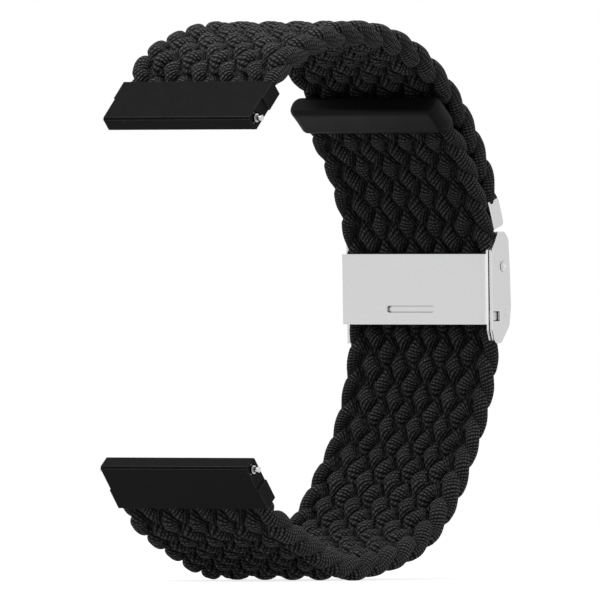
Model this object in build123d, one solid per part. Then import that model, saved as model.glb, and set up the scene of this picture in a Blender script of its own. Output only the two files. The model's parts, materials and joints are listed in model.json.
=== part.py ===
from build123d import *
import os
from math import atan2, cos, degrees, hypot, radians, sin

os.makedirs("parts", exist_ok=True)

# Millimetres. X runs across the band, -Y is the watch side, +Y the clasp side, +Z is up.
# The parts are drawn about the centre of the loop's round back and moved at the end.

# The braided band: two concentric layers at the back of the loop
band_width = 20.5
band_thickness = 2.2
column_count = 10
column_depth = 0.55
band_edge_bulge = 0.45
wrist_radius = 29.65
layer_gap = 0.25
upper_nose_radius = 23.4
upper_nose_angle = 43.5
lower_nose_radius = 22.5
lower_nose_angle = 49.5

# Moulded or fused tongues on the band's ends
tongue_side_setback = 0.95
tongue_thickness = 1.2
tongue_length = 3.0
slot_clearance = 0.05

# Metal lug ends
lug_end_width = 21.8
lug_end_length = 6.5
lug_end_thickness = 2.1
lug_nose_length = 3.6
lug_side_step = 0.22
lug_edge_bevel = 0.25
border_gap = 0.05

# Spring bars
bar_tube_diameter = 1.5
bar_tube_wall = 0.2
bar_bore_clearance = 0.05
bar_axis_from_end = 1.15
bar_tube_setback = 0.35
tip_collar_diameter = 1.04
tip_collar_length = 0.45
tip_pin_diameter = 0.7
tip_reach = 0.85
tip_plug_length = 3.0
tip_shank_length = 8.0
tip_shank_clearance = 0.03
bar_spring_wire = 0.18
bar_spring_clearance = 0.05
bar_spring_turns = 14
bar_spring_wire_sides = 8
bar_spring_end_gap = 0.1

# Quick-release knob on the sliding tip
release_travel = 1.0
knob_stem_diameter = 0.6
knob_head_diameter = 1.3
knob_head_height = 0.22
knob_tube_clearance = 0.05
knob_from_tube_end = 4.2
knob_slot_clearance = 0.12

# Cap on the loose tail
cap_angle = 46.6
cap_length = 4.4
cap_side_overhang = 0.6
cap_outer_wall = 0.05
cap_inner_wall = 0.45
cap_edge_radius = 0.7
cap_side_radius = 1.2

# Steel crimp on the end of the upper band
crimp_start_angle = 17.8
crimp_length = 3.7
crimp_edge_radius = 0.55
knuckle_side_setback = 3.25
knuckle_wall = 0.2

# Clasp, drawn in its own frame: radial from the loop's centre and along the band
clasp_lean_angle = 1.4
clasp_rise = 2.0
sheet_thickness = 0.4
plate_thickness = 0.5
plate_length = 8.5
plate_clearance = 0.1
plate_bend_radius = 1.1
plate_left_bend_radius = 0.5
plate_inner_bend_radius = 0.3
band_side_clearance = 0.1
wall_gap = 0.05
side_front_setback = 0.39
side_length = 13.5
side_depth = 4.0
left_side_setback = 1.85
cover_clearance = 0.32
cover_thickness = 0.4
cover_hinge_setback = 0.6
side_corner_radius = 0.8
hinge_boss_diameter = 1.6
hinge_room_offset = 0.3
hinge_room_clearance = 0.2
rib_length = 7.0
rib_width = 0.85
rib_depth = 0.35
rib_from_lower_edge = 1.85
rib_offset = 0.55
link_pin_diameter = 0.6
link_pin_clearance = 0.03
rivet_diameter = 1.0
rivet_clearance = 0.03
rivet_head_diameter = 1.25
rivet_head_height = 0.08
rivet_dimple_diameter = 1.2
rivet_dimple_depth = 0.2
window_length = 1.2
window_depth = 1.4
catch_clearance = 0.12
catch_height = 0.04
dot_diameter = 0.3
dot_depth = 0.08
dot_spacing = 0.55
strip_height = 0.2
strip_side_setback = 0.6
strip_length = 2.2
strip_tooth_pitch = 0.55

# Shares of the side plate, from the wrist side and from its lower tip
side_low_share = 0.488
hinge_depth_share = 0.606
hinge_along_share = 0.688
link_depth_share = 0.7
link_along_share = 0.888
window_depth_share = 0.231
window_along_share = 0.245
dots_depth_share = 0.696
dots_along_share = 0.276
cover_low_share = 0.21
boat_shares = [
    (0.0, 0.125),
    (0.0, 0.83),
    (0.18, 0.9),
    (0.38, 1.0),
    (0.71, 1.0),
    (0.91, 0.93),
    (0.97, 0.62),
    (1.0, 0.33),
    (0.906, 0.155),
    (0.46, 0.0),
    (0.14, 0.0),
]

cut_overrun = 1.0
tiny_share = 0.01

# Sizes that follow from the ones above
tongue_width = band_width - 2 * tongue_side_setback
cap_width = band_width + 2 * cap_side_overhang
knuckle_width = band_width - 2 * knuckle_side_setback
inner_layer_middle = wrist_radius + band_thickness / 2
outer_layer_middle = inner_layer_middle + band_thickness + layer_gap
inner_layer_back = wrist_radius + band_thickness
outer_layer_front = inner_layer_back + layer_gap
outer_layer_back = outer_layer_front + band_thickness
wall_inner_x = band_width / 2 + band_side_clearance
wall_outer_x = wall_inner_x + sheet_thickness
lever_inner_x = wall_outer_x + wall_gap
lever_outer_x = lever_inner_x + sheet_thickness
plate_top = clasp_rise + plate_length / 2
plate_back = wrist_radius - plate_clearance - plate_top**2 / (2 * wrist_radius)
plate_front = plate_back - plate_thickness
side_front = plate_front + side_front_setback
left_side_front = plate_front + left_side_setback
cover_front = inner_layer_back + cover_clearance
side_low = -side_length * side_low_share
bar_bore_radius = bar_tube_diameter / 2 + bar_bore_clearance
tube_bore_radius = bar_tube_diameter / 2 - bar_tube_wall
lug_nose_half_width = lug_end_width / 2 - lug_side_step
tube_end = lug_nose_half_width - bar_tube_setback
bar_along = lug_end_length - bar_axis_from_end
across = Plane.YZ


def degrees_along(length, radius):
    return degrees(length / radius)


def on_circle(radius, angle):
    return (radius * cos(radians(angle)), radius * sin(radians(angle)))


def ring_block(inner, outer, width, start_angle, end_angle):
    """A curved block about the loop's centre, square to the band."""
    middle = (start_angle + end_angle) / 2
    outline = [
        ThreePointArc(*[on_circle(outer, a) for a in (start_angle, middle, end_angle)]),
        Line(on_circle(outer, end_angle), on_circle(inner, end_angle)),
        ThreePointArc(*[on_circle(inner, a) for a in (end_angle, middle, start_angle)]),
        Line(on_circle(inner, start_angle), on_circle(outer, start_angle)),
    ]
    face = across * make_face(outline)
    return extrude(face, amount=width / 2, both=True)


def round_rod(radius, low, high, along=0.0, out=0.0):
    """A rod across the band, from low to high in X."""
    rod = Cylinder(radius, high - low, align=(Align.CENTER, Align.CENTER, Align.MIN))
    return Pos(low, along, out) * Rot(0, 90, 0) * rod


# The braided bands


def band_middle(radius, start_angle, nose_radius, nose_turn, side):
    """Middle line of one band: round the back, then tighter down to its metal end."""
    back = CenterArc((0, 0), radius, start_angle, side * 90 - start_angle)
    nose_centre = (0, side * (radius - nose_radius))
    nose = CenterArc(nose_centre, nose_radius, side * 90, side * nose_turn)
    return across * Wire([back, nose])


def band_section():
    """The plait's columns as rounded ribs on both faces, between two round edges."""
    crest = band_thickness / 2
    valley = crest - column_depth
    half_row = band_width / 2 - band_edge_bulge
    pitch = 2 * half_row / column_count
    lines = []
    for face in (1, -1):
        for column in range(column_count):
            low = column * pitch - half_row
            rib = [(low, valley), (low + pitch / 2, crest), (low + pitch, valley)]
            lines.append(ThreePointArc(*[(x, face * y) for x, y in rib]))
    for edge in (1, -1):
        bulge = [(half_row, -valley), (band_width / 2, 0), (half_row, valley)]
        lines.append(ThreePointArc(*[(edge * x, y) for x, y in bulge]))
    return make_face(lines)


def band(middle):
    start = Plane(middle @ 0, x_dir=(1, 0, 0), z_dir=middle % 0)
    return sweep(start * band_section(), path=middle)


def end_plane(middle):
    """At the band's metal end: X across, Y out of the loop, Z on along the band."""
    point = middle @ 1
    along = middle % 1
    out_of_loop = 1 if along.Z * point.Y - along.Y * point.Z > 0 else -1
    return Plane(point, x_dir=(out_of_loop, 0, 0), z_dir=along)


def curved_tongue(middle_radius, start_angle, end_angle, clearance=0.0):
    half = tongue_thickness / 2 + clearance
    width = tongue_width + 2 * clearance
    return ring_block(middle_radius - half, middle_radius + half, width, start_angle, end_angle)


cap_span = degrees_along(cap_length, inner_layer_middle)
crimp_span = degrees_along(crimp_length, outer_layer_middle)
tongue_span = degrees_along(tongue_length, inner_layer_middle)
clearance_span = degrees_along(slot_clearance, inner_layer_middle)
crimp_end_angle = crimp_start_angle + crimp_span

upper_middle = band_middle(
    outer_layer_middle, crimp_end_angle, upper_nose_radius, upper_nose_angle, 1
)
lower_middle = band_middle(
    inner_layer_middle, cap_angle, lower_nose_radius, lower_nose_angle, -1
)
upper_end = end_plane(upper_middle)
lower_end = end_plane(lower_middle)

upper_braid = band(upper_middle) + curved_tongue(
    outer_layer_middle, crimp_end_angle - tongue_span, crimp_end_angle
)
lower_braid = band(lower_middle) + curved_tongue(
    inner_layer_middle, cap_angle, cap_angle + tongue_span
)

# Tail cap


def make_tail_cap():
    """A bar with round ends and edges that follows the loop's curve."""
    inner = wrist_radius - cap_inner_wall
    outer = inner_layer_back + cap_outer_wall
    arc = across * CenterArc((0, 0), (inner + outer) / 2, cap_angle, cap_span)
    start = Plane(arc @ 0, x_dir=(1, 0, 0), z_dir=arc % 0)
    block = sweep(start * RectangleRounded(cap_width, outer - inner, cap_side_radius), path=arc)
    ends = block.faces().filter_by(GeomType.PLANE).filter_by(
        lambda f: f.area > cap_width * (outer - inner) / 2 and abs(f.normal_at().X) < tiny_share
    )
    far_end = ends.sort_by(Axis.Z)[-1]
    near_end = ends.sort_by(Axis.Z)[0]
    block = fillet(far_end.edges() + near_end.edges(), cap_edge_radius)
    slot = curved_tongue(
        inner_layer_middle,
        cap_angle - clearance_span,
        cap_angle + tongue_span + clearance_span,
        slot_clearance,
    )
    return block - slot


tail_cap = make_tail_cap()

# Metal ends with their spring bars, drawn in the band's end frame:
# X across, Y out of the loop, Z on along the band towards the watch


def make_lug_end():
    shoulder = Box(
        lug_end_width,
        lug_end_thickness,
        lug_end_length - lug_nose_length - border_gap,
        align=(Align.CENTER, Align.CENTER, Align.MIN),
    )
    nose = Box(
        2 * lug_nose_half_width,
        lug_end_thickness,
        lug_nose_length,
        align=(Align.CENTER, Align.CENTER, Align.MIN),
    )
    body = Pos(0, 0, border_gap) * shoulder + Pos(0, 0, lug_end_length - lug_nose_length) * nose
    long_edges = body.edges().filter_by(Axis.X).group_by(Axis.Z)[-1]
    body = chamfer(long_edges, lug_edge_bevel)
    anchor_slot = Box(
        tongue_width + 2 * slot_clearance,
        tongue_thickness + 2 * slot_clearance,
        tongue_length + slot_clearance + cut_overrun,
        align=(Align.CENTER, Align.CENTER, Align.MIN),
    )
    bore = round_rod(bar_bore_radius, -lug_end_width, lug_end_width)
    knob_middle = tube_end - knob_from_tube_end
    slot_half_width = knob_head_diameter / 2 + knob_slot_clearance
    knob_slot = Box(
        release_travel + 2 * slot_half_width,
        lug_end_thickness,
        2 * slot_half_width,
        align=(Align.CENTER, Align.MAX, Align.CENTER),
    )
    body -= Pos(0, 0, -cut_overrun) * anchor_slot
    body -= Pos(0, 0, bar_along) * bore
    body -= Pos(knob_middle - release_travel / 2, 0, bar_along) * knob_slot
    return body


def make_anchor():
    """Moulded tongue that joins the braid's fused end to the metal end."""
    return Box(
        tongue_width,
        tongue_thickness,
        tongue_length,
        align=(Align.CENTER, Align.CENTER, Align.MIN),
    )


def make_bar_tube():
    tube = round_rod(bar_tube_diameter / 2, -tube_end, tube_end)
    tube -= round_rod(tube_bore_radius, -tube_end - cut_overrun, tube_end + cut_overrun)
    stem_slot = Box(
        release_travel + knob_stem_diameter + 2 * knob_slot_clearance,
        bar_tube_diameter,
        knob_stem_diameter + 2 * knob_slot_clearance,
        align=(Align.CENTER, Align.MAX, Align.CENTER),
    )
    knob_middle = tube_end - knob_from_tube_end
    tube -= Pos(knob_middle - release_travel / 2, 0, 0) * stem_slot
    return Pos(0, 0, bar_along) * tube


def bar_tip(shank_radius, shank_length):
    """Shank inside the tube, collar at its mouth, thin pin outside; points to +X."""
    collar_end = tube_end + tip_collar_length
    pin_end = lug_nose_half_width + tip_reach
    tip = round_rod(shank_radius, tube_end - shank_length, tube_end)
    tip += round_rod(tip_collar_diameter / 2, tube_end, collar_end)
    tip += round_rod(tip_pin_diameter / 2, collar_end, pin_end)
    return Pos(0, 0, bar_along) * tip


def make_fixed_tip():
    return Rot(0, 180, 0) * Pos(0, 0, -2 * bar_along) * bar_tip(tube_bore_radius, tip_plug_length)


def make_sliding_tip():
    return bar_tip(tube_bore_radius - tip_shank_clearance, tip_shank_length)


def make_release_knob():
    """A stem out of the sliding shank through the tube's slot, with a round head."""
    seat = tube_bore_radius - tip_shank_clearance
    head_low = bar_tube_diameter / 2 + knob_tube_clearance
    stem = Cylinder(
        knob_stem_diameter / 2,
        head_low - seat,
        align=(Align.CENTER, Align.CENTER, Align.MIN),
    )
    head = Cylinder(
        knob_head_diameter / 2,
        knob_head_height,
        align=(Align.CENTER, Align.CENTER, Align.MIN),
    )
    knob = Pos(0, 0, seat) * stem + Pos(0, 0, head_low) * head
    return Pos(tube_end - knob_from_tube_end, 0, bar_along) * Rot(90, 0, 0) * knob


def make_bar_spring():
    start = -tube_end + tip_plug_length + bar_spring_end_gap
    end = tube_end - tip_shank_length - bar_spring_end_gap
    coil_radius = tube_bore_radius - bar_spring_clearance - bar_spring_wire / 2
    rise = end - start - bar_spring_wire
    coil = Helix(rise / bar_spring_turns, rise, coil_radius)
    section = RegularPolygon(bar_spring_wire / 2, bar_spring_wire_sides)
    wire = Plane(coil @ 0, z_dir=coil % 0) * section
    spring = sweep(wire, path=coil, is_frenet=True)
    return Pos(start + bar_spring_wire / 2, 0, bar_along) * Rot(0, 90, 0) * spring


lug_pieces = {
    "lug_end": make_lug_end(),
    "anchor": make_anchor(),
    "bar_tube": make_bar_tube(),
    "bar_fixed_tip": make_fixed_tip(),
    "bar_sliding_tip": make_sliding_tip(),
    "release_knob": make_release_knob(),
    "bar_spring": make_bar_spring(),
}

# Clasp, in its own frame: X across, Y away from the loop's centre, Z along the band


def side_point(depth_share, along_share):
    return (side_front + depth_share * side_depth, side_low + along_share * side_length)


def side_plate(inner_x, outer_x):
    """One boat-shaped side plate on +X."""
    points = [side_point(*share) for share in boat_shares]
    outline = make_face(Polyline(points, close=True))
    outline = fillet(outline.vertices(), side_corner_radius)
    return extrude(Plane.YZ.offset(inner_x) * outline, amount=outer_x - inner_x)


def both_sides(piece):
    return piece + mirror(piece, about=Plane.YZ)


def side_pair(right_side, left_side):
    """The right side plate, and on the left one that stands further back from the wrist."""
    kept = Pos(0, left_side_front, 0) * Box(
        4 * lever_outer_x,
        2 * side_depth,
        2 * side_length,
        align=(Align.CENTER, Align.MIN, Align.CENTER),
    )
    return right_side + (mirror(left_side, about=Plane.YZ) & kept)


hinge_point = side_point(hinge_depth_share, hinge_along_share)
link_point = side_point(link_depth_share, link_along_share)
window_point = side_point(window_depth_share, window_along_share)
cover_top = hinge_point[1] - cover_hinge_setback
cover_low = side_point(0, cover_low_share)[1]
dots_point = side_point(dots_depth_share, dots_along_share)


def channel_face(half_width, front, right_radius, left_radius):
    """A rectangle open to the back, with its two wrist-side corners rounded."""
    face = Rectangle(2 * half_width, side_depth, align=(Align.CENTER, Align.MIN))
    front_corners = face.vertices().group_by(Axis.Y)[0].sort_by(Axis.X)
    face = fillet(front_corners[0], left_radius)
    right_corner = face.vertices().group_by(Axis.Y)[0].sort_by(Axis.X)[-1]
    return Pos(0, front) * fillet(right_corner, right_radius)


def make_clasp_base():
    plate_width = 2 * wall_outer_x
    outer_face = channel_face(
        wall_outer_x, plate_front, plate_bend_radius, plate_left_bend_radius
    )
    inner_face = channel_face(
        wall_inner_x, plate_back, plate_inner_bend_radius, plate_inner_bend_radius
    )
    channel = extrude(outer_face - inner_face, amount=plate_length / 2, both=True)
    channel &= Pos(0, plate_front, 0) * Box(
        plate_width,
        2 * plate_bend_radius,
        plate_length,
        align=(Align.CENTER, Align.MIN, Align.CENTER),
    )
    envelope = extrude(outer_face, amount=side_length, both=True)
    wall = side_plate(wall_inner_x, wall_outer_x)
    walls = side_pair(wall, wall) & envelope
    cover_reach = hypot(cover_front + cover_thickness - hinge_point[0], cover_hinge_setback)
    room_low = cover_low - wall_gap
    room_high = hinge_point[1] + cover_reach + hinge_room_clearance
    cover_room = Pos(0, hinge_point[0] + hinge_room_offset, room_low) * Box(
        2 * plate_width,
        side_depth,
        room_high - room_low,
        align=(Align.CENTER, Align.MIN, Align.MIN),
    )
    boss = round_rod(hinge_boss_diameter / 2, wall_inner_x, wall_outer_x, *hinge_point)
    base = channel + (walls - cover_room) + both_sides(boss)
    rib = SlotOverall(rib_length, rib_width)
    rib_plane = Plane((-rib_offset, plate_front, 0), x_dir=(1, 0, 0), z_dir=(0, 1, 0))
    rib_low = rib_from_lower_edge - plate_length / 2
    base -= rib_plane * Pos(0, -rib_low) * extrude(rib, amount=rib_depth)
    base -= round_rod(link_pin_diameter / 2, -plate_width, plate_width, *link_point)
    base -= round_rod(rivet_diameter / 2, -plate_width, plate_width, *hinge_point)
    catch = Box(
        catch_height,
        window_depth - 2 * catch_clearance,
        window_length - 2 * catch_clearance,
        align=(Align.MIN, Align.CENTER, Align.CENTER),
    )
    return base + Pos(wall_outer_x, *window_point) * catch


def make_clasp_lever():
    plate = side_plate(lever_inner_x, lever_outer_x)
    window = Box(
        side_depth,
        window_depth,
        window_length,
    )
    plate -= round_rod(rivet_diameter / 2 + rivet_clearance, 0, lever_outer_x * 2, *hinge_point)
    for step in (-1, 1):
        dot = (dots_point[0], dots_point[1] + step * dot_spacing / 2)
        plate -= round_rod(dot_diameter / 2, lever_outer_x - dot_depth, 2 * lever_outer_x, *dot)
    cover = Box(
        2 * lever_outer_x,
        cover_thickness,
        cover_top - cover_low,
        align=(Align.CENTER, Align.MIN, Align.MIN),
    )
    sides = side_pair(plate - Pos(lever_outer_x, *window_point) * window, plate)
    return sides + Pos(0, cover_front, cover_low) * cover


def make_grip_strip():
    """Ribbed strip under the cover, beside the hinge, that bites the band."""
    count = int(strip_length / strip_tooth_pitch)
    back = Box(
        band_width - 2 * strip_side_setback,
        strip_height / 2,
        strip_length,
        align=(Align.CENTER, Align.MAX, Align.MAX),
    )
    strip = Pos(0, cover_front, cover_top) * back
    tooth = Box(
        band_width - 2 * strip_side_setback,
        strip_height,
        strip_tooth_pitch / 2,
        align=(Align.CENTER, Align.MAX, Align.MAX),
    )
    for index in range(count):
        strip += Pos(0, cover_front, cover_top - index * strip_tooth_pitch) * tooth
    return strip


def make_hinge_rivets():
    head_end = lever_outer_x + rivet_head_height
    rivet = round_rod(rivet_diameter / 2, wall_inner_x, lever_outer_x, *hinge_point)
    rivet += round_rod(rivet_head_diameter / 2, lever_outer_x, head_end, *hinge_point)
    dimple = Sphere(rivet_dimple_diameter / 2)
    low = head_end + rivet_dimple_diameter / 2 - rivet_dimple_depth
    rivet -= Pos(low, *hinge_point) * dimple
    return both_sides(rivet)


def make_link_pin():
    return round_rod(link_pin_diameter / 2, -wall_outer_x, wall_outer_x, *link_point)


clasp_frame = Rot(clasp_lean_angle, 0, 0) * Pos(0, 0, clasp_rise)
clasp_base = clasp_frame * make_clasp_base()
clasp_lever = clasp_frame * make_clasp_lever()
grip_strip = clasp_frame * make_grip_strip()
hinge_rivets = clasp_frame * make_hinge_rivets()
link_pin = clasp_frame * make_link_pin()

# Crimp on the upper band, with the knuckle that turns on the link pin


def make_crimp():
    sleeve = ring_block(
        outer_layer_front, outer_layer_back, band_width, crimp_start_angle, crimp_end_angle
    )
    outer_edges = sleeve.edges().filter_by(Axis.X).sort_by(
        lambda e: hypot(e.center().Y, e.center().Z)
    )[-2:]
    sleeve = fillet(outer_edges, crimp_edge_radius)
    pin_height = link_point[1] + clasp_rise
    pin_radius = hypot(link_point[0], pin_height)
    pin_angle = clasp_lean_angle + degrees(atan2(pin_height, link_point[0]))
    knuckle_radius = link_pin_diameter / 2 + knuckle_wall
    pin_place = on_circle(pin_radius, pin_angle)
    knuckle = round_rod(knuckle_radius, -knuckle_width / 2, knuckle_width / 2, *pin_place)
    web_low = pin_radius - knuckle_radius
    web = ring_block(
        max(web_low, outer_layer_front),
        pin_radius + knuckle_radius,
        knuckle_width,
        pin_angle,
        crimp_start_angle,
    )
    bore = round_rod(
        link_pin_diameter / 2 + link_pin_clearance, -band_width, band_width, *pin_place
    )
    slot = curved_tongue(
        outer_layer_middle,
        crimp_end_angle - tongue_span - clearance_span,
        crimp_end_angle + clearance_span,
        slot_clearance,
    )
    return sleeve + knuckle + web - bore - slot


strap_end_crimp = make_crimp()

# All nodes, still about the loop's centre
nodes = {
    "upper_braid": upper_braid,
    "lower_braid": lower_braid,
    "tail_cap": tail_cap,
    "strap_end_crimp": strap_end_crimp,
    "link_pin": link_pin,
    "clasp_base": clasp_base,
    "clasp_lever": clasp_lever,
    "grip_strip": grip_strip,
    "hinge_rivets": hinge_rivets,
}
for half, plane in (("upper", upper_end), ("lower", lower_end)):
    for piece_name, piece in lug_pieces.items():
        nodes[f"{half}_{piece_name}"] = plane * piece

# The origin is under the middle of the whole strap, at its lowest point
whole = Compound(children=[Compound(piece.solids()) for piece in nodes.values()]).bounding_box()
move = Pos(0, -(whole.min.Y + whole.max.Y) / 2, -whole.min.Z)
for name, piece in nodes.items():
    export_step(Compound((move * piece).solids()), f"parts/{name}.step")

print("loop centre", move.position)
print("size", whole.size)
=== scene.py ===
# %% [markdown]
# # A braided elastic watch strap
#
# The strap is a loop without its watch: eleven elastic cords plaited into a flat band, two
# black metal ends with spring bars, a steel flip clasp and a moulded cap on the loose tail.
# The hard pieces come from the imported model. Here they get their finish and their broken
# edges, and the plain bands are replaced by real plaits, cord by cord.

# %% Load the frame
import json
import math
from types import SimpleNamespace

import bmesh
import bpy
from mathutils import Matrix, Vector

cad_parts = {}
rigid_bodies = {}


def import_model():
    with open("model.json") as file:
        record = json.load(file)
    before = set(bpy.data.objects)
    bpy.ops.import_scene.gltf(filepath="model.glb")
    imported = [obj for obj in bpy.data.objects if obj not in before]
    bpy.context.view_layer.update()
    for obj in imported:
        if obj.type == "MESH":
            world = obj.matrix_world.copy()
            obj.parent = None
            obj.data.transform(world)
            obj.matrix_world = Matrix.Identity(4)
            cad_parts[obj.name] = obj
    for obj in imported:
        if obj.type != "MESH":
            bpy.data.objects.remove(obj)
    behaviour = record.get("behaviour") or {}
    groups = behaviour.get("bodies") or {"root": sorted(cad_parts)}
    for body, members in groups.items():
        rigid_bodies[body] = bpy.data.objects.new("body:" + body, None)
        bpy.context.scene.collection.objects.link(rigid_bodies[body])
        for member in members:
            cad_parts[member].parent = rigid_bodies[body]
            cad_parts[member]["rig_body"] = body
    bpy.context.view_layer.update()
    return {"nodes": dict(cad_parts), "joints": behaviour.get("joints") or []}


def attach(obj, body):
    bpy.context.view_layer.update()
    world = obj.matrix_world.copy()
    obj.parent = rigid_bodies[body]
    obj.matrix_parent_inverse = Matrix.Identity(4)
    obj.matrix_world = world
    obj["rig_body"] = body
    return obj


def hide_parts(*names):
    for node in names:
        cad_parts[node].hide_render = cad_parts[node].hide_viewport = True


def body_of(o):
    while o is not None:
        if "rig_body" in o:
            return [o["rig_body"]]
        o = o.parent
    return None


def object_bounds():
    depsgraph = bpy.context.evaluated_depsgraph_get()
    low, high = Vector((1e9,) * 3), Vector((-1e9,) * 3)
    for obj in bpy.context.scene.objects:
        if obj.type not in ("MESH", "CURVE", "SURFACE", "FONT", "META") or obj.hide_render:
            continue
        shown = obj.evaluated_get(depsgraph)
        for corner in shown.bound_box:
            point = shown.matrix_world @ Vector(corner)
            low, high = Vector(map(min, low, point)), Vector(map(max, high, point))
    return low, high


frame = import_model()

# %% [markdown]
# ## Units and the loop
#
# Blender works in metres and the strap is described in millimetres, so every length is
# written as a number times MM. The band runs round the middle of the loop, which is also
# the point that the clasp turns about when the size is set. The frame knows that point.

# %% Units and the loop's centre
MM = 0.001
joint_place = {joint["name"]: Vector(joint.get("pos_m", (0, 0, 0))) for joint in frame["joints"]}
loop_centre = joint_place["size_adjust"]
print("loop centre (mm):", [round(value / MM, 2) for value in loop_centre])

# %% [markdown]
# ## Camera
#
# The photograph looks at the strap from 35 degrees to its side, level with its middle and
# from far away, so that parallel edges stay parallel. A very long lens from three metres
# gives that look, and its length follows from the width that the picture has to hold.

# %% Camera


def direction(azimuth, elevation=0.0):
    """One step away from the strap; azimuth 0 is its front and 90 its right side."""
    turn, rise = math.radians(azimuth), math.radians(elevation)
    level = math.cos(rise)
    return Vector((math.sin(turn) * level, -math.cos(turn) * level, math.sin(rise)))


camera_azimuth = 35
camera_distance = 3200 * MM
picture_width = 72.03 * MM
picture_shift = Vector((0, 4.34 * MM, 1.4 * MM))
aim = loop_centre + picture_shift

camera_data = bpy.data.cameras.new("camera")
camera = bpy.data.objects.new("camera", camera_data)
bpy.context.collection.objects.link(camera)
towards_camera = direction(camera_azimuth)
camera.location = aim + towards_camera * camera_distance
camera.rotation_euler = (-towards_camera).to_track_quat("-Z", "Y").to_euler()
camera_data.lens = camera_data.sensor_width * camera_distance / picture_width
camera_data.clip_end = 2 * camera_distance
bpy.context.scene.camera = camera
bpy.context.scene.view_settings.view_transform = "Standard"
print("lens:", round(camera_data.lens), "mm")

# %% [markdown]
# ## Formulas as nodes
#
# A plait follows a rule, so its path can be written as a formula. Geometry Nodes has one
# Math node for each sum, which soon fills a page. This small class lets the script write
# the formula as plain arithmetic, and adds the node for each step by itself.

# %% A number that lives in a node tree


def add(tree, kind, **settings):
    node = tree.nodes.new(kind)
    for name, value in settings.items():
        setattr(node, name, value)
    return node


def plug(tree, values, slots):
    """Links each Field to its slot, and writes each plain number into its slot."""
    for value, slot in zip(values, slots):
        if isinstance(value, Field):
            tree.links.new(value.socket, slot)
        else:
            slot.default_value = value


def math_node(tree, operation, *values):
    node = add(tree, "ShaderNodeMath", operation=operation)
    plug(tree, values, node.inputs)
    return Field(tree, node.outputs[0])


class Field:
    """A socket that takes part in sums; each operation adds one Math node."""

    def __init__(self, tree, socket):
        self.tree = tree
        self.socket = socket

    def then(self, operation, *others):
        return math_node(self.tree, operation, self, *others)

    def __add__(self, other):
        return self.then("ADD", other)

    def __sub__(self, other):
        return self.then("SUBTRACT", other)

    def __mul__(self, other):
        return self.then("MULTIPLY", other)

    def __truediv__(self, other):
        return self.then("DIVIDE", other)

    def __rtruediv__(self, other):
        return math_node(self.tree, "DIVIDE", other, self)

    def __rsub__(self, other):
        return self * -1 + other

    __radd__ = __add__
    __rmul__ = __mul__

    def __mod__(self, other):
        return self.then("FLOORED_MODULO", other)

    def sin(self):
        return self.then("SINE")

    def cos(self):
        return self.then("COSINE")

    def abs(self):
        return self.then("ABSOLUTE")

    def floor(self):
        return self.then("FLOOR")

    def above(self, other):
        return self.then("GREATER_THAN", other)

    def at_least(self, other):
        return self.then("MAXIMUM", other)

    def at_most(self, other):
        return self.then("MINIMUM", other)

    def held(self):
        """Never below 0 nor above 1."""
        return self.at_least(0).at_most(1)

    def eased(self):
        """A smooth start and end between 0 and 1."""
        return self * self * (3 - self * 2)

    def pick(self, when_one, when_zero):
        """when_one where this is 1, when_zero where it is 0."""
        return self * (when_one - when_zero) + when_zero


def vector(tree, *parts):
    """Joins three numbers, each a Field or plain, into one vector."""
    node = add(tree, "ShaderNodeCombineXYZ")
    plug(tree, parts, node.inputs)
    return node.outputs[0]


print("a formula helper for node trees")

# %% [markdown]
# ## The small steps of a geometry tree
#
# A geometry tree is a long chain of the same few steps: keep a value on the points, read it
# again, move the points. Each step gets a name here, so that the plait itself reads as a
# list of what happens to the cords.

# %% Steps of a geometry tree


def store(tree, geometry, name, value, kind="FLOAT", domain="POINT"):
    """Keeps a value on the points under a name, for later nodes and for the material."""
    node = add(tree, "GeometryNodeStoreNamedAttribute", data_type=kind, domain=domain)
    node.inputs["Name"].default_value = name
    tree.links.new(geometry, node.inputs["Geometry"])
    tree.links.new(value.socket if isinstance(value, Field) else value, node.inputs["Value"])
    return node.outputs["Geometry"]


def stored(tree, name, kind):
    """The socket that gives back what was stored under a name."""
    node = add(tree, "GeometryNodeInputNamedAttribute", data_type=kind)
    node.inputs["Name"].default_value = name
    return node.outputs["Attribute"]


def kept(tree, name):
    return Field(tree, stored(tree, name, "FLOAT"))


def kept_vector(tree, name):
    return stored(tree, name, "FLOAT_VECTOR")


def vector_step(tree, operation, *sockets):
    node = add(tree, "ShaderNodeVectorMath", operation=operation)
    for socket, slot in zip(sockets, node.inputs):
        tree.links.new(socket, slot)
    return node.outputs[0]


def move(tree, geometry, **goal):
    """Moves the points to a Position, or by an Offset."""
    node = add(tree, "GeometryNodeSetPosition")
    tree.links.new(geometry, node.inputs["Geometry"])
    for name, socket in goal.items():
        tree.links.new(socket, node.inputs[name])
    return node.outputs["Geometry"]


def push_along(tree, geometry, way, amount):
    """Moves each point by this much of the way."""
    push = add(tree, "ShaderNodeVectorMath", operation="SCALE")
    tree.links.new(way, push.inputs[0])
    tree.links.new(amount.socket, push.inputs["Scale"])
    return move(tree, geometry, Offset=push.outputs[0])


print("steps for geometry trees")

# %% [markdown]
# ## The plait
#
# A flat plait of eleven cords has ten columns of crossings. Each cord walks across the
# band one column at a time and turns round the edge, going over one cord and under the
# next. Where it is over, it lies nearly along the band and fills its column like a grain
# of corn; it slips sideways while it dives. One formula gives the place across the band,
# one gives the height, and the band's own path of two arcs carries both round the loop.
#
# With an odd number of cords, every cord has the same height rule on its way to the right
# and back: after each turn round an edge it starts one crossing later.
#
# The cords could be drawn by hand as curves, or bent from a straight plait with a Curve
# modifier. Here Geometry Nodes make them, because a rule with named sizes can be tuned
# against the photograph number by number, and the same tree makes both bands.

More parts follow.
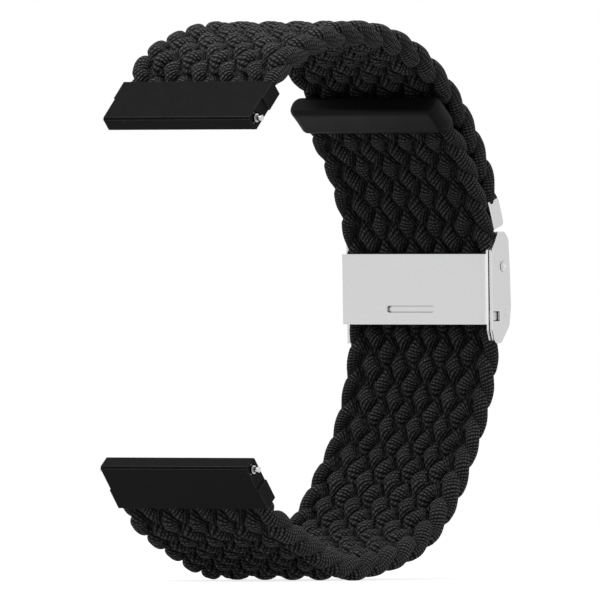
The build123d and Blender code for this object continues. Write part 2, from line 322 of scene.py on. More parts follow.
# %% The sizes that the plait's tree takes
plait_inputs = {
    "NodeSocketInt": (
        "Cords in plait",
        "First cord",
        "Cords here",
        "Points along",
        "Points around",
    ),
    "NodeSocketFloat": (
        "Column spacing",
        "Step length",
        "Float rise",
        "Float share",
        "Float evenness",
        "Edge reach",
        "Clasp place",
        "Clasp half length",
        "Clasp squeeze",
        "Cord width",
        "Cord thickness",
        "Dive spread",
        "Dive flatness",
        "Back radius",
        "Start angle",
        "Side",
        "Nose radius",
        "Nose turn",
        "Run into ends",
        "End squeeze",
        "Squeeze length",
        "Inner growth",
        "Inner growth from",
        "Outer growth",
        "Outer growth from",
        "Growth length",
        "Back lift",
        "Back lift place",
        "Back lift reach",
        "Nose lift",
        "Nose lift place",
        "Nose lift reach",
    ),
    "NodeSocketVector": ("Centre",),
    "NodeSocketMaterial": ("Material",),
}
print("the plait takes", sum(len(names) for names in plait_inputs.values()), "sizes")

# %% [markdown]
# The cords start as straight lines of points, one line for each cord. Every point knows its
# share of the line, and from that its place along the band. The walk counts the columns
# that the cord has crossed, there and back, and starts two columns on for each next cord.

# %% Straight cords, and where each point is in the plait
quarter = math.pi / 2


def lay_out_cords(tree, size):
    """Lines of points, and the number of the cord that each line is."""
    line = add(tree, "GeometryNodeCurvePrimitiveLine")
    points = add(tree, "GeometryNodeResampleCurve")
    tree.links.new(line.outputs[0], points.inputs["Curve"])
    tree.links.new(size("Points along").socket, points.inputs["Count"])
    share = add(tree, "GeometryNodeSplineParameter").outputs["Factor"]
    marked = store(tree, points.outputs[0], "share", share)
    copies = add(tree, "GeometryNodeDuplicateElements", domain="SPLINE")
    tree.links.new(marked, copies.inputs["Geometry"])
    tree.links.new(size("Cords here").socket, copies.inputs["Amount"])
    cord = Field(tree, copies.outputs["Duplicate Index"]) + size("First cord")
    return copies.outputs["Geometry"], cord


def walk_the_plait(tree, size, cord):
    """How far each point is along the band, and in its cord's walk across it."""
    back_length = (size("Side") * quarter - size("Start angle")).abs() * size("Back radius")
    band_length = back_length + size("Nose turn") * size("Nose radius")
    run = size("Run into ends")
    along = kept(tree, "share") * (band_length + run * 2) - run
    number = size("Cords in plait")
    walk = (along / size("Step length") + cord * 2) % (number * 2)
    return SimpleNamespace(
        along=along,
        back_length=back_length,
        from_end=along.at_most(band_length - along),
        from_clasp=(along - size("Clasp place")).abs() - size("Clasp half length"),
        number=number,
        walk=walk,
        column=number - (walk - number).abs(),
    )


# %% [markdown]
# Across the band the cord climbs a staircase: it waits in a column while it lies on top, and
# steps over while it is below. A second, faster wave evens the step out. Near the edge the
# last columns are drawn out a little, so that the outermost cords lie round the edge.

# %% The place across the band
full_turn = 2 * math.pi
edge_columns = 2.5


def place_across(size, at):
    """The distance from the band's middle line."""
    inner = at.column.at_least(1).at_most(at.number - 1)
    stair = (inner * full_turn).sin() * size("Float share") / full_turn
    even = (inner * (2 * full_turn)).sin() * size("Float evenness") / (2 * full_turn)
    right = ((at.column - (at.number - edge_columns)) / edge_columns).at_least(0)
    left = ((edge_columns - at.column) / edge_columns).at_least(0)
    outside_clasp = (at.from_clasp / size("Squeeze length")).held()
    reach = size("Edge reach") - (1 - outside_clasp) * size("Clasp squeeze")
    steps = inner - at.number / 2 - stair + even
    return steps * size("Column spacing") + (right.eased() - left.eased()) * reach


# %% [markdown]
# A cord is over one neighbour and under the next, and at an edge it goes once from the front
# to the back. A cosine gives both; it is flattened into plateaus, because a cord on top lies
# straight before it dives. A free band swells a little. It is thin only in the clasp, under
# the other band and at its ends, and on two stretches it leaves its round path a little.

# %% Height over the band's middle
plateau_start, plateau_bend = 1.5, 0.5
thickness_share = 0.45


def over_and_under(at):
    """Whether the cord is going round an edge, and its wave from -1 to 1."""
    beat = (at.walk + 1) % at.number
    in_turn = (2 - beat).above(0)
    round_edge = (beat * quarter).cos()
    crossing = (beat * math.pi).cos() * -1
    return in_turn, in_turn.pick(round_edge, crossing)


def swelling(size, at):
    """How much thicker the free band is, and how far its middle moves outwards."""

    def grown(face):
        start = (at.along - size(f"{face} growth from")) / size("Growth length")
        return start.held() * size(f"{face} growth")

    def lifted(part):
        off = ((at.along - size(f"{part} lift place")) / size(f"{part} lift reach")).abs()
        return (1 - off).at_least(0).eased() * size(f"{part} lift")

    loose = (at.from_end / size("Growth length")).held().eased()
    loose = loose * (at.from_clasp / size("Growth length")).held().eased()
    inner, outer = grown("Inner") * loose, grown("Outer") * loose
    lift = (lifted("Back") + lifted("Nose")) * loose
    return (inner + outer) / 2, (outer - inner) / 2 + lift


def height_and_girth(size, at, wave):
    """The cord's height over the band's middle, and the scale of its section."""
    extra, shift = swelling(size, at)
    plump = (at.from_end / size("Squeeze length")).held().pick(1, size("End squeeze"))
    plateau = wave * (plateau_start - wave * wave * plateau_bend)
    rise = size("Float rise") * plump + extra * (1 - thickness_share)
    thicker = extra * thickness_share / (size("Cord thickness") / 2) + 1
    return shift - plateau * rise, plump * thicker


# %% [markdown]
# The band follows the arc of the loop's back and then the tighter arc of the nose, towards
# the metal end. Both arcs are one formula with a switch between them. The flat of a cord
# faces out of the band, and rolls over where the cord goes round an edge.

# %% The path of two arcs


def place_on_path(tree, size, at, across, height):
    """Each point's place in space, and the angle round the loop at which it is."""
    side, radius, nose = size("Side"), size("Back radius"), size("Nose radius")
    past_back = at.along - at.back_length
    on_nose = past_back.above(0)
    turned = on_nose.pick(at.back_length / radius + past_back / nose, at.along / radius)
    angle = size("Start angle") + side * turned
    out = on_nose.pick(nose, radius) + height
    nose_rise = on_nose * (radius - nose) * side
    return vector(tree, across, angle.cos() * out, angle.sin() * out + nose_rise), angle


def facing_of_cord(tree, at, angle):
    right_turn = (at.column - (at.number - 1)).at_least(0)
    left_turn = (1 - at.column).at_least(0)
    turn = (right_turn + left_turn) * quarter
    rightward = (at.number - at.walk).above(0)
    face = turn.cos() * (1 - rightward * 2)
    return vector(tree, turn.sin(), face * angle.cos(), face * angle.sin())


def dive_depth(wave, in_turn):
    """1 where the cord passes between its neighbours, and soon 0 before and after."""
    depth = 1 - wave * wave
    for sharpening in range(3):
        depth = depth * depth
    return depth * (1 - in_turn)


# %% [markdown]
# The skin is an oval section swept along each cord. A cord that dives between two others is
# squeezed flat and spreads, which also leaves no hole where four cords meet. For that, each
# point of the skin needs the middle of its cord and the sideways direction, so both are kept
# on the curve before the sweep. The length along the cord is kept for the twill.

# %% Marks on the curves


def mark_cords(tree, cords, facing, **marks):
    """Turns the cords' flats to their facing and keeps what the skin will need."""
    tangent = add(tree, "GeometryNodeInputTangent").outputs[0]
    lean = vector_step(tree, "PROJECT", facing, tangent)
    square = vector_step(tree, "SUBTRACT", facing, lean)
    sideways = vector_step(tree, "CROSS_PRODUCT", tangent, facing)
    for name, value in marks.items():
        cords = store(tree, cords, name, value)
    unit = vector_step(tree, "NORMALIZE", sideways)
    cords = store(tree, cords, "sideways", unit, "FLOAT_VECTOR")
    turned = add(tree, "GeometryNodeSetCurveNormal", mode="FREE")
    tree.links.new(cords, turned.inputs["Curve"])
    tree.links.new(square, turned.inputs["Normal"])
    length = add(tree, "GeometryNodeSplineParameter").outputs["Length"]
    measured = store(tree, turned.outputs[0], "cord_along", length)
    middle = add(tree, "GeometryNodeInputPosition").outputs[0]
    return store(tree, measured, "middle", middle, "FLOAT_VECTOR")


# %% The skin of a cord, squeezed where it dives


def skin_cords(tree, size, cords):
    ring = add(tree, "GeometryNodeCurvePrimitiveCircle")
    tree.links.new(size("Points around").socket, ring.inputs["Resolution"])
    ring.inputs["Radius"].default_value = 1
    ring_share = add(tree, "GeometryNodeSplineParameter").outputs["Factor"]
    marked = store(tree, ring.outputs[0], "cord_around", ring_share)
    round_place = add(tree, "GeometryNodeInputPosition").outputs[0]
    half = vector(tree, size("Cord thickness") / 2, size("Cord width") / 2, 1.0)
    oval = vector_step(tree, "MULTIPLY", round_place, half)
    skin = add(tree, "GeometryNodeCurveToMesh")
    tree.links.new(cords, skin.inputs["Curve"])
    tree.links.new(move(tree, marked, Position=oval), skin.inputs["Profile Curve"])
    tree.links.new(kept(tree, "girth").socket, skin.inputs["Scale"])
    skin.inputs["Fill Caps"].default_value = True
    return skin.outputs[0]


def squeeze_dives(tree, size, mesh):
    here = add(tree, "GeometryNodeInputPosition").outputs[0]
    off_middle = vector_step(tree, "SUBTRACT", here, kept_vector(tree, "middle"))
    to_side = vector_step(tree, "PROJECT", off_middle, kept_vector(tree, "sideways"))
    to_face = vector_step(tree, "SUBTRACT", off_middle, to_side)
    diving = kept(tree, "diving")
    widened = push_along(tree, mesh, to_side, diving * size("Dive spread"))
    return push_along(tree, widened, to_face, diving * size("Dive flatness") * -1)


# %% [markdown]
# The twill needs the place round the cord as well. A value on the points would run back from
# nearly 1 to 0 in the last face of the ring and squash the pattern there. On the corners of
# the faces it can run up to a full 1. The tree ends with the band in its place, its copies
# made real, and its material set.

# %% The finished band
seam_jump = 0.3


def finish_band(tree, size, mesh):
    around = kept(tree, "cord_around")
    of_face = add(tree, "GeometryNodeFieldOnDomain", domain="FACE", data_type="FLOAT")
    tree.links.new(around.socket, of_face.inputs[0])
    last_face = (Field(tree, of_face.outputs[0]) - around).above(seam_jump)
    wrapped = store(tree, mesh, "cord_turn", around + last_face, domain="CORNER")
    placed = move(tree, wrapped, Offset=size("Centre").socket)
    smooth = add(tree, "GeometryNodeSetShadeSmooth")
    tree.links.new(placed, smooth.inputs["Geometry"])
    real = add(tree, "GeometryNodeRealizeInstances")
    tree.links.new(smooth.outputs[0], real.inputs[0])
    painted = add(tree, "GeometryNodeSetMaterial")
    tree.links.new(real.outputs[0], painted.inputs["Geometry"])
    tree.links.new(size("Material").socket, painted.inputs["Material"])
    return painted.outputs[0]


# %% The whole tree


def build_plait_tree():
    tree = bpy.data.node_groups.new("flat plait", "GeometryNodeTree")
    for kind, names in plait_inputs.items():
        for name in names:
            tree.interface.new_socket(name=name, in_out="INPUT", socket_type=kind)
    tree.interface.new_socket(name="Mesh", in_out="OUTPUT", socket_type="NodeSocketGeometry")
    given = add(tree, "NodeGroupInput")

    def size(name):
        return Field(tree, given.outputs[name])

    lines, cord = lay_out_cords(tree, size)
    at = walk_the_plait(tree, size, cord)
    in_turn, wave = over_and_under(at)
    height, girth = height_and_girth(size, at, wave)
    place, angle = place_on_path(tree, size, at, place_across(size, at), height)
    cords = mark_cords(
        tree,
        move(tree, lines, Position=place),
        facing_of_cord(tree, at, angle),
        girth=girth,
        diving=dive_depth(wave, in_turn),
        cord_number=cord,
    )
    mesh = squeeze_dives(tree, size, skin_cords(tree, size, cords))
    result = add(tree, "NodeGroupOutput")
    tree.links.new(finish_band(tree, size, mesh), result.inputs[0])
    return tree


plait_tree = build_plait_tree()
print("plait tree:", len(plait_tree.nodes), "nodes")

# %% [markdown]
# ## The cords of both bands
#
# The two bands share every size of the plait and differ only in their path. The sizes were
# fitted to the photograph: a column is about a tenth of the band's width, and a cord crosses
# one column in the same length.

# %% Sizes of the plait
plait = {
    "Cords in plait": 11,
    "Column spacing": 2.0 * MM,
    "Step length": 2.0 * MM,
    "Float rise": 0.44 * MM,
    "Float share": 0.8,
    "Float evenness": 0.35,
    "Edge reach": 1.1 * MM,
    "Clasp half length": 3.5 * MM,
    "Clasp squeeze": 0.05 * MM,
    "Cord width": 1.72 * MM,
    "Cord thickness": 1.44 * MM,
    "Dive spread": 1.75,
    "Dive flatness": 0.6,
    "Run into ends": 0.3 * MM,
    "End squeeze": 0.88,
    "Squeeze length": 1.0 * MM,
    "Inner growth": 0.35 * MM,
    "Outer growth": 0.35 * MM,
    "Growth length": 3.5 * MM,
    "Points around": 18,
    "Centre": loop_centre,
}
print("a flat plait of", plait["Cords in plait"], "cords")

# %% [markdown]
# The lower band is the one that slides through the clasp when the size is set. It stays thin
# over the whole stretch that can come to lie in the clasp, and swells only past it. The upper
# band never meets the clasp, so its clasp place lies far off its end.

# %% Paths of the two bands
inner_middle, outer_middle = 30.75 * MM, 33.2 * MM
lower_start, clasp_angle = math.radians(46.6), math.radians(3.5)
band_paths = {
    "upper": {
        "Back radius": outer_middle,
        "Start angle": math.radians(24.185),
        "Side": 1.0,
        "Clasp place": -50 * MM,
        "Inner growth from": 18 * MM,
        "Outer growth from": 0.0,
        "Back lift": 0.8 * MM,
        "Back lift place": 23 * MM,
        "Back lift reach": 21 * MM,
        "Nose lift": 0.5 * MM,
        "Nose lift place": 52 * MM,
        "Nose lift reach": 7 * MM,
        "Nose radius": 23.4 * MM,
        "Nose turn": math.radians(43.5),
    },
    "lower": {
        "Back radius": inner_middle,
        "Start angle": lower_start,
        "Side": -1.0,
        "Clasp place": (lower_start - clasp_angle) * inner_middle,
        "Inner growth from": 44 * MM,
        "Outer growth from": 44 * MM,
        "Back lift": 0.9 * MM,
        "Back lift place": 56 * MM,
        "Back lift reach": 12 * MM,
        "Nose lift": -1.15 * MM,
        "Nose lift place": 82 * MM,
        "Nose lift reach": 11 * MM,
        "Nose radius": 22.5 * MM,
        "Nose turn": math.radians(49.5),
    },
}


def path_length(path):
    back = abs(path["Side"] * quarter - path["Start angle"]) * path["Back radius"]
    return back + path["Nose turn"] * path["Nose radius"]


for half, path in band_paths.items():
    print(half, "band:", round(path_length(path) / MM, 1), "mm along its middle")

# %% [markdown]
# A modifier runs the tree on an object whose mesh is empty. The result is kept as a plain
# mesh, because the pieces ride on the strap's bodies and no modifier of this kind may be left
# on them. A piece that is too dense slows everything down, so each band is made as four
# pieces of two or three cords. A cord goes to and fro and is longer than its band, so it
# gets more points.

# %% Run a tree and keep its mesh


def make_with_nodes(name, tree, sizes):
    """Runs a node tree with these sizes and keeps its result as a plain mesh."""
    holder = bpy.data.objects.new(name, bpy.data.meshes.new(name))
    bpy.context.collection.objects.link(holder)
    modifier = holder.modifiers.new("nodes", "NODES")
    modifier.node_group = tree
    for socket in tree.interface.items_tree:
        if socket.in_out == "INPUT":
            modifier[socket.identifier] = sizes[socket.name]
    bpy.context.view_layer.update()
    depsgraph = bpy.context.evaluated_depsgraph_get()
    result = bpy.data.meshes.new_from_object(holder.evaluated_get(depsgraph))
    holder.modifiers.clear()
    holder.data = result
    result.name = name
    return holder


# %% Make one band
cord_groups = ((0, 3), (3, 3), (6, 3), (9, 2))
point_spacing = 0.15 * MM
cord_per_band = 1.3


def make_band(half, material):
    path = band_paths[half]
    points = round(path_length(path) / point_spacing * cord_per_band)
    for number, (first, count) in enumerate(cord_groups, start=1):
        sizes = plait | path | {
            "First cord": first,
            "Cords here": count,
            "Points along": points,
            "Material": material,
        }
        piece = make_with_nodes(f"{half}_cords_{number}", plait_tree, sizes)
        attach(piece, f"{half}_strap")
        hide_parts(f"{half}_braid")
        print(piece.name, len(piece.data.polygons) * 2, "triangles")


# %% [markdown]
# ## Effects that several finishes share
#
# Grain, brush lines, rubbed patches and the cords' twill are patterns, not materials. Two of
# them also paint light into the colour: shade in the steel's narrow gaps, and lighter crests
# with darker grooves and dives on the cords. Each is a shader group with named sizes, built once
# and placed in every material that needs it. The group puts out a height or a mask that changes
# over the surface; the shader itself stays in the material, with its plain numbers on its own
# sockets.

# %% A shader group with named inputs and outputs


def new_group(name, inputs, outputs):
    """An empty shader group; returns it, its inputs as Fields, and its output node."""
    tree = bpy.data.node_groups.new(name, "ShaderNodeTree")
    kind = "NodeSocketFloat"
    for title, value in inputs.items():
        socket = tree.interface.new_socket(name=title, in_out="INPUT", socket_type=kind)
        socket.default_value = value
    for title in outputs:
        tree.interface.new_socket(name=title, in_out="OUTPUT", socket_type=kind)
    given = add(tree, "NodeGroupInput")
    fields = {title: Field(tree, given.outputs[title]) for title in inputs}
    return tree, fields, add(tree, "NodeGroupOutput")


def put_out(tree, node, **values):
    for title, value in values.items():
        tree.links.new(value.socket, node.inputs[title])


def object_place(tree):
    return add(tree, "ShaderNodeTexCoord").outputs["Object"]


def noise(tree, place, scale, detail=2.0):
    """A noise value from 0 to 1 at this place; scale is a Field or a number, per metre."""
    node = add(tree, "ShaderNodeTexNoise")
    tree.links.new(place, node.inputs["Vector"])
    plug(tree, (scale, detail), (node.inputs["Scale"], node.inputs["Detail"]))
    return Field(tree, node.outputs["Fac"])


def contrast(field, low, high):
    """0 below low, 1 above high, and even steps between."""
    return ((field - low) / (high - low)).held()


print("helpers for shader groups")

# %% [markdown]
# Moulded plastic and anodised metal aren't mirror smooth: both have a fine grain. A noise
# on Object coordinates gives its height, and a much broader noise says where the surface is
# a little rougher. Brushed steel has the same two noises, stretched along the band's width,
# the way the plate was drawn over the brush.

# %% Fine grain, for mouldings and anodised metal
patch_contrast = (0.3, 0.7)
patch_per_grain = 25


def build_grain():
    tree, given, out = new_group("fine grain", {"Grain size": 0.1 * MM}, ("Height", "Patches"))
    place = object_place(tree)
    fine = noise(tree, place, 1 / given["Grain size"], detail=3.0)
    broad = noise(tree, place, 1 / patch_per_grain / given["Grain size"])
    put_out(tree, out, Height=fine, Patches=contrast(broad, *patch_contrast))
    return tree


# %% Brush lines, for the steel
streak_per_line = 12


def build_brush_lines():
    sizes = {"Line length": 6 * MM, "Line spacing": 0.05 * MM}
    tree, given, out = new_group("brush lines", sizes, ("Height", "Streaks"))
    parts = add(tree, "ShaderNodeSeparateXYZ")
    tree.links.new(object_place(tree), parts.inputs[0])
    x, y, z = (Field(tree, socket) for socket in parts.outputs)

    def lines(across, detail):
        stretched = vector(tree, x / given["Line length"], y / across, z / across)
        return noise(tree, stretched, 1.0, detail)

    height = lines(given["Line spacing"], 3.0)
    streaks = lines(given["Line spacing"] * streak_per_line, 2.0)
    put_out(tree, out, Height=height, Streaks=contrast(streaks, *patch_contrast))
    return tree


# %% [markdown]
# Handled metal is brighter in patches. A narrow gap is dark, because little light finds its way
# in, and that shade is also painted into the steel's colour. Ambient Occlusion measures how open
# a place is, so it paints the gaps between lever and base darker without any line being drawn.

# %% Rubbed patches, and painted shade in gaps, for everything hard
gap_contrast = (0.25, 0.85)


def build_wear_and_shade():
    sizes = {"Patch size": 0.6 * MM, "Gap depth": 0.35 * MM}
    tree, given, out = new_group("rubbed patches and painted gap shade", sizes, ("Rubbed", "Open"))
    patches = noise(tree, object_place(tree), 1 / given["Patch size"])
    shade = add(tree, "ShaderNodeAmbientOcclusion")
    tree.links.new(given["Gap depth"].socket, shade.inputs["Distance"])
    # how open a place is; the steel paints shade into its colour with this
    openness = contrast(Field(tree, shade.outputs["AO"]), *gap_contrast)
    put_out(tree, out, Rubbed=contrast(patches, *patch_contrast), Open=openness)
    return tree


# %% [markdown]
# The sheath of each cord is woven in fine slanted ridges. They follow the cord, so their
# pattern runs on two values that the plait's tree left on the mesh: the length along the
# cord, and the share of the way round it. A whole number of ridges goes round, so that they
# meet. Each ridge is a row of small stitches, and the next row is set half a stitch on.

# %% Twill, with painted highlight and shade, for the cords
wobble_size, wobble_depth = 1.2 * MM, 0.5
bead_depth = 0.75
tone_size, tone_range, tone_base = 2.5 * MM, 0.5, 0.6
cord_step, cord_difference = 2.4, 0.08
# painted shade: the share of colour taken away where a cord dives between its neighbours
dive_shade = 0.85


def build_twill():
    sizes = {"Ridge pitch": 0.34 * MM, "Ridges round": 3, "Beads round": 12}
    tree, given, out = new_group("cord twill and painted light", sizes, ("Height", "Tone"))

    def value(name):
        return Field(tree, add(tree, "ShaderNodeAttribute", attribute_name=name).outputs["Fac"])

    place = object_place(tree)
    around = value("cord_turn")
    wobble = noise(tree, place, 1 / wobble_size) * wobble_depth
    ridge_count = value("cord_along") / given["Ridge pitch"] - around * given["Ridges round"]
    ridge_count = ridge_count + wobble
    ridge = (ridge_count * math.pi).sin().abs()
    bead_count = around * given["Beads round"] + ridge_count.floor() * 0.5
    bead = (bead_count * math.pi).sin().abs()
    # the ridge height also sets the colour: painted highlight on the crests, painted shade in
    # the grooves
    height = ridge * ridge * (bead * bead * bead_depth + (1 - bead_depth))
    patches = noise(tree, place, 1 / tone_size) * tone_range
    cord_tone = (value("cord_number") * cord_step).sin() * cord_difference + patches + tone_base
    # painted shade where a cord dives between two others
    shaded = 1 - value("diving") * dive_shade
    put_out(tree, out, Height=height, Tone=height * cord_tone * shaded)
    return tree


# %% Build the groups
groups = {
    "grain": build_grain(),
    "brush": build_brush_lines(),
    "wear_and_shade": build_wear_and_shade(),
    "twill": build_twill(),
}
print("shader groups:", ", ".join(tree.name for tree in groups.values()))

# %% [markdown]
# ## Finishes
#
# Every finish is a Principled shader with plain numbers for what is the same all over, and
# the groups for what changes. One helper places a group, one mixes two colours by a mask,
# one varies the roughness, and one adds the bump.

# %% Helpers for materials


def grey(level, blue=0.0):
    return (level, level, level + blue)


def new_material(name, **sockets):
    material = bpy.data.materials.new(name)
    material.use_nodes = True
    shader = material.node_tree.nodes["Principled BSDF"]
    for title, value in sockets.items():
        shader.inputs[title.replace("_", " ")].default_value = value
    return material.node_tree, shader


def place_group(tree, which, **sizes):
    node = add(tree, "ShaderNodeGroup", node_tree=groups[which])
    for title, value in sizes.items():
        node.inputs[title.replace("_", " ")].default_value = value
    return {socket.name: Field(tree, socket) for socket in node.outputs}


def mix_colour(tree, shader, mask, low, high):
    """Base Color goes from low to high with the mask."""
    node = add(tree, "ShaderNodeMix", data_type="RGBA")
    tree.links.new(mask.socket, node.inputs["Factor"])
    node.inputs["A"].default_value = (*low, 1)
    node.inputs["B"].default_value = (*high, 1)
    tree.links.new(node.outputs["Result"], shader.inputs["Base Color"])


def vary_roughness(tree, shader, mask, low, high):
    tree.links.new((mask * (high - low) + low).socket, shader.inputs["Roughness"])


def bump(tree, shader, height, depth, strength=1.0):
    node = add(tree, "ShaderNodeBump")
    node.inputs["Distance"].default_value = depth
    node.inputs["Strength"].default_value = strength
    tree.links.new(height.socket, node.inputs["Height"])
    tree.links.new(node.outputs["Normal"], shader.inputs["Normal"])


print("helpers for materials")

# %% [markdown]
# The cords are matt black nylon: nearly no gloss, a little sheen from the fuzz, and ridges that
# catch the light. Their colour has painted light in it: lighter on the crests of the ridges,
# near black in the grooves, and painted shade where a cord dives between its neighbours. The
# bump is deep, because the ridges are as high as they look.

# %% The cords' nylon


def cord_finish():
    tree, shader = new_material("black nylon cord", Specular_IOR_Level=0.1, Sheen_Weight=0.04)
    shader.inputs["Sheen Roughness"].default_value = 0.5
    twill = place_group(tree, "twill")
    # the tone puts painted light into the colour: lighter crests, near black grooves and dives
    mix_colour(tree, shader, twill["Tone"], grey(0.001), grey(0.15, blue=0.001))
    vary_roughness(tree, shader, twill["Height"], 0.95, 0.5)
    bump(tree, shader, twill["Height"], 0.18 * MM)


# %% [markdown]
# Anodised metal and the moulded cap are both dark and grained, and differ in numbers alone.
# The steel is a true metal: its colour is its reflection, satin from the brush lines, with
# painted shade in its narrow gaps. The pieces with broken edges have a second, brighter finish
# on their rounded edges, a painted highlight.

# %% Anodised metal, the moulded cap, and the steel
dark_spread, steel_spread = 0.03, 0.02
grain_height = 1 / 20
# painted shade: the share of the steel's colour left in its narrow gaps
painted_gap_shade_level = 0.12


def dark_finish(name, colour, rubbed, roughness, grain_size, specular):
    """A black surface with grain; rubbed is its colour where it has been touched most."""
    tree, shader = new_material(name, Specular_IOR_Level=specular)
    grain = place_group(tree, "grain", Grain_size=grain_size)
    wear_and_shade = place_group(tree, "wear_and_shade")
    mix_colour(tree, shader, wear_and_shade["Rubbed"], grey(colour), grey(rubbed))
    smoothest, roughest = roughness - dark_spread, roughness + dark_spread
    vary_roughness(tree, shader, grain["Patches"], smoothest, roughest)
    bump(tree, shader, grain["Height"], grain_size * grain_height, 0.5)


def steel_finish(name, colour, roughness, depth):
    """Satin steel: brush lines across the band, and painted shade in its colour where a gap
    keeps the light out.
    """
    tree, shader = new_material(name, Metallic=1.0)
    lines = place_group(tree, "brush")
    wear_and_shade = place_group(tree, "wear_and_shade", Patch_size=1.5 * MM)
    painted_gap_shade_colour = tuple(value * painted_gap_shade_level for value in colour)
    # painted shade: the colour goes dark where a narrow gap keeps the light out
    mix_colour(tree, shader, wear_and_shade["Open"], painted_gap_shade_colour, colour)
    smoothest, roughest = roughness - steel_spread, roughness + steel_spread
    vary_roughness(tree, shader, lines["Streaks"], smoothest, roughest)
    bump(tree, shader, lines["Height"], depth, 0.2)


# %% All finishes
cord_finish()
dark_finish("black anodised metal", 0.004, 0.006, 0.42, 0.05 * MM, 0.04)
# the edge finishes are brighter copies: a painted highlight on the broken edges
dark_finish("anodised edge, rubbed, with painted highlight", 0.012, 0.05, 0.35, 0.05 * MM, 0.3)
dark_finish("black moulding", 0.006, 0.009, 0.5, 0.1 * MM, 0.08)
dark_finish("moulding edge, rubbed, with painted highlight", 0.01, 0.02, 0.45, 0.1 * MM, 0.3)
steel_finish("brushed steel", grey(0.62, blue=0.005), 0.28, 0.0015 * MM)
steel_finish("steel edge, polished, with painted highlight", grey(0.68, blue=0.005), 0.2, 0.0005 * MM)
steel_finish("bright steel", grey(0.62, blue=0.01), 0.18, 0.001 * MM)
finishes = bpy.data.materials
print("finishes:", ", ".join(material.name for material in finishes))

# %% [markdown]
# ## The bands, cord by cord
#
# Now the plait's tree runs for both halves, with the nylon as its material.

# %% Plait both bands
for half in band_paths:
    make_band(half, finishes["black nylon cord"])

# %% [markdown]
# ## Hard pieces with broken edges
#
# A imported piece has perfectly sharp edges, and no real edge is sharp: it shows as a fine
# bright line. Each hard piece that shows is copied, its loose triangles are merged into a solid
# skin, flat areas are joined, and a Bevel modifier rounds every edge a little. A Weighted Normal
# modifier then keeps the flat faces flat in the light. The copy stands for the imported piece
# and rides on the same body.
#
# The base and the lug ends have very short edges at their openings. A full bevel overshoots
# there and grows spikes, so on these three pieces it is clamped.

# %% Copy a piece and break its edges
merge_distance = 0.0005 * MM
flat_angle = math.radians(0.3)
edge_angle = math.radians(28)
clamped_pieces = ("clasp_base", "upper_lug_end", "lower_lug_end")
# each finish has a brighter copy for its broken edges, a painted highlight
edge_and_slot = {
    "brushed steel": ("steel edge, polished, with painted highlight", "clasp_steel"),
    "black anodised metal": ("anodised edge, rubbed, with painted highlight", "black_metal"),
    "black moulding": ("moulding edge, rubbed, with painted highlight", "cap_plastic"),
}


def solid_skin(mesh):
    """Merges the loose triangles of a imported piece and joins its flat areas."""
    skin = bmesh.new()
    skin.from_mesh(mesh)
    bmesh.ops.remove_doubles(skin, verts=skin.verts, dist=merge_distance)
    bmesh.ops.dissolve_limit(skin, angle_limit=flat_angle, verts=skin.verts, edges=skin.edges)
    for face in skin.faces:
        face.smooth = True
    skin.to_mesh(mesh)
    skin.free()


def round_edges(piece, width, clamped):
    bevel = piece.modifiers.new("broken edges", "BEVEL")
    bevel.width = width
    bevel.segments = 2
    bevel.limit_method = "ANGLE"
    bevel.angle_limit = edge_angle
    bevel.use_clamp_overlap = clamped
    # the rounded faces take the brighter edge finish: a painted highlight
    bevel.material = 1
    even = piece.modifiers.new("flat faces stay flat", "WEIGHTED_NORMAL")
    even.keep_sharp = True


def broken_edges(node_name, edge_width, finish):
    """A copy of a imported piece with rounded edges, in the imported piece's place."""
    node = frame["nodes"][node_name]
    mesh = node.data.copy()
    solid_skin(mesh)
    piece = bpy.data.objects.new(f"{node_name}_finished", mesh)
    bpy.context.collection.objects.link(piece)
    highlight_edge_finish, slot = edge_and_slot[finish]
    mesh.materials.clear()
    mesh.materials.append(finishes[finish])
    mesh.materials.append(finishes[highlight_edge_finish])
    round_edges(piece, edge_width, node_name in clamped_pieces)
    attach(piece, body_of(node)[0])
    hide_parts(node_name)
    return piece


# %% [markdown]
# The six large hard pieces get broken edges, each of a width that suits its thickness. The
# small ones, such as the spring bars and the rivets, hardly show. They keep their packed
# mesh, and only their finish is set.

# %% Which piece gets which finish
edge_widths = {
    "clasp_base": (0.09 * MM, "brushed steel"),
    "clasp_lever": (0.045 * MM, "brushed steel"),
    "strap_end_crimp": (0.09 * MM, "brushed steel"),
    "upper_lug_end": (0.07 * MM, "black anodised metal"),
    "lower_lug_end": (0.07 * MM, "black anodised metal"),
    "tail_cap": (0.08 * MM, "black moulding"),
}
plain_finishes = {
    "anchor": "black moulding",
    "bar": "bright steel",
    "knob": "bright steel",
    "pin": "brushed steel",
    "strip": "brushed steel",
    "rivets": "brushed steel",
}
for name, node in frame["nodes"].items():
    if name in edge_widths:
        piece = broken_edges(name, *edge_widths[name])
        print(piece.name, len(piece.data.polygons), "faces before the bevel")
        continue
    for word, finish in plain_finishes.items():
        if word in name:
            node.data.materials.clear()
            node.data.materials.append(finishes[finish])

# %% [markdown]
# ## Floor, background and light
#
# The strap stands on a plain white floor before a white background. The camera sees white
# there, and so does the steel in its reflections, but the object is lit at a plain level: a
# soft world that is brighter above, and four large lamps. A world that is white all round
# would be simpler, but it would light the braid from every side and wash out its gaps.
#
# The floor is grey, with a glow that only the camera and mirrors see. Together they look
# white, little light comes back up from it, and the strap's shadow still shows.

# %% The rays that see the background


def seen_directly(tree):
    """1 where the camera, a mirror or glass looks, 0 where a surface only gets light."""
    path = add(tree, "ShaderNodeLightPath")
    rays = ("Is Camera Ray", "Is Glossy Ray", "Is Transmission Ray")
    camera_ray, glossy_ray, transmission_ray = (Field(tree, path.outputs[ray]) for ray in rays)
    return (camera_ray + glossy_ray + transmission_ray).at_most(1)


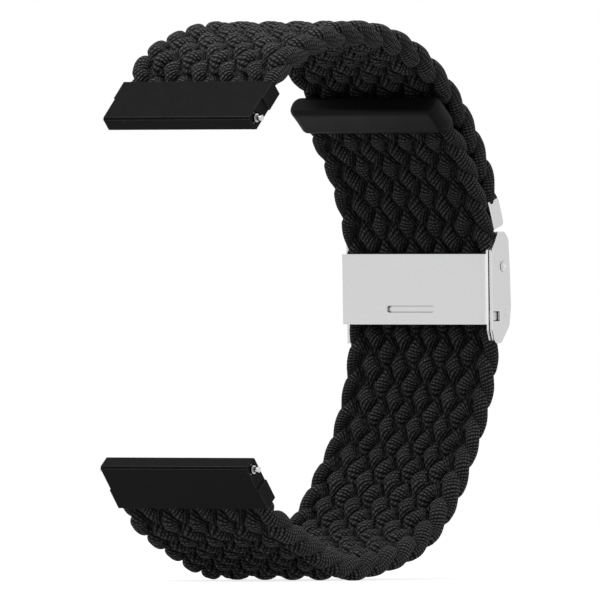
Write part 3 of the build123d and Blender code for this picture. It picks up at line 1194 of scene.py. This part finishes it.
# %% Floor
floor_reach = 0.6
floor_glow = 0.8
floor_mesh = bpy.data.meshes.new("floor")
floor_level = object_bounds()[0][2]
corners = [(-1, -1), (1, -1), (1, 1), (-1, 1)]
places = [(x * floor_reach, y * floor_reach, floor_level) for x, y in corners]
floor_mesh.from_pydata(places, [], [(0, 1, 2, 3)])
floor = bpy.data.objects.new("floor", floor_mesh)
bpy.context.collection.objects.link(floor)
floor_look = {"Base_Color": (*grey(0.4), 1), "Roughness": 0.9, "Specular_IOR_Level": 0.0}
floor_tree, floor_shader = new_material("pale floor", **floor_look)
floor_shader.inputs["Emission Color"].default_value = (*grey(1), 1)
glow = seen_directly(floor_tree) * floor_glow
floor_tree.links.new(glow.socket, floor_shader.inputs["Emission Strength"])
floor_mesh.materials.append(finishes["pale floor"])
print("floor at", round(floor_level / MM, 2), "mm")

# %% World
sky_from, sky_to = -0.1, 1.0
darkest_sky, sky_range = 0.03, 0.7
world = bpy.data.worlds.new("studio")
bpy.context.scene.world = world
world.use_nodes = True
world_tree = world.node_tree
background = world_tree.nodes["Background"]
background.inputs["Color"].default_value = (*grey(1), 1)
outwards = add(world_tree, "ShaderNodeSeparateXYZ")
sky = add(world_tree, "ShaderNodeTexCoord")
world_tree.links.new(sky.outputs["Generated"], outwards.inputs[0])
up = Field(world_tree, outwards.outputs["Z"])
light_level = contrast(up, sky_from, sky_to) * sky_range + darkest_sky
background_level = seen_directly(world_tree).pick(1.0, light_level)
world_tree.links.new(background_level.socket, background.inputs["Strength"])
print("world:", world.name)

# %% [markdown]
# Each lamp is a square panel that looks at the strap, and its energy grows with its face, so
# that a level says how bright the panel itself is. Three panels stand high, so that the
# steel plates don't mirror them towards the camera. The fourth stands low on the right and
# lights the sides of the clasp and of the band.

# %% Lamps
lamp_distance = 400 * MM
lamps = {
    "left front panel": (-45, 45, 320 * MM, 0.85),
    "right side panel": (68, 5, 300 * MM, 0.6),
    "back right panel": (170, 50, 300 * MM, 0.7),
    "top panel": (0, 75, 300 * MM, 1.9),
}
for name, (azimuth, elevation, width, level) in lamps.items():
    panel = bpy.data.lights.new(name, "AREA")
    panel.size = width
    panel.energy = level * math.pi * width**2
    lamp = bpy.data.objects.new(name, panel)
    bpy.context.collection.objects.link(lamp)
    away = direction(azimuth, elevation)
    lamp.location = aim + away * lamp_distance
    lamp.rotation_euler = away.to_track_quat("Z", "Y").to_euler()
print(len(lamps), "lamps")
